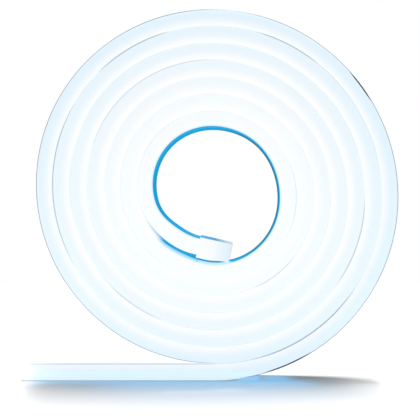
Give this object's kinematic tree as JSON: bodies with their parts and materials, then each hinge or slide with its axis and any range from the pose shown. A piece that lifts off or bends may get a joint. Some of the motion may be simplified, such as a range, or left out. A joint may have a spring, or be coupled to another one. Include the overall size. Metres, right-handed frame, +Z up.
{
  "type": "led neon flex",
  "caption": "Length of lit LED neon flex wound in a flat spiral coil standing on edge, one end capped inside the bore and the other lying straight along the floor",
  "frame": {"origin": "on the floor under the coil's axis, at the middle of the strip's depth", "axes": "X across the coil, with the straight outer end towards -X; Y along the coil's axis, with the lit front towards -Y; Z up"},
  "size_m": [0.3367, 0.0286, 0.3326],
  "materials": {
    "jacket": "milky diffusing jacket, satin, lit from inside",
    "cap_moulding": "translucent moulding, satin"
  },
  "bodies": {
    "root": {"neon_flex": "jacket", "end_cap": "cap_moulding"}
  },
  "joints": []
}
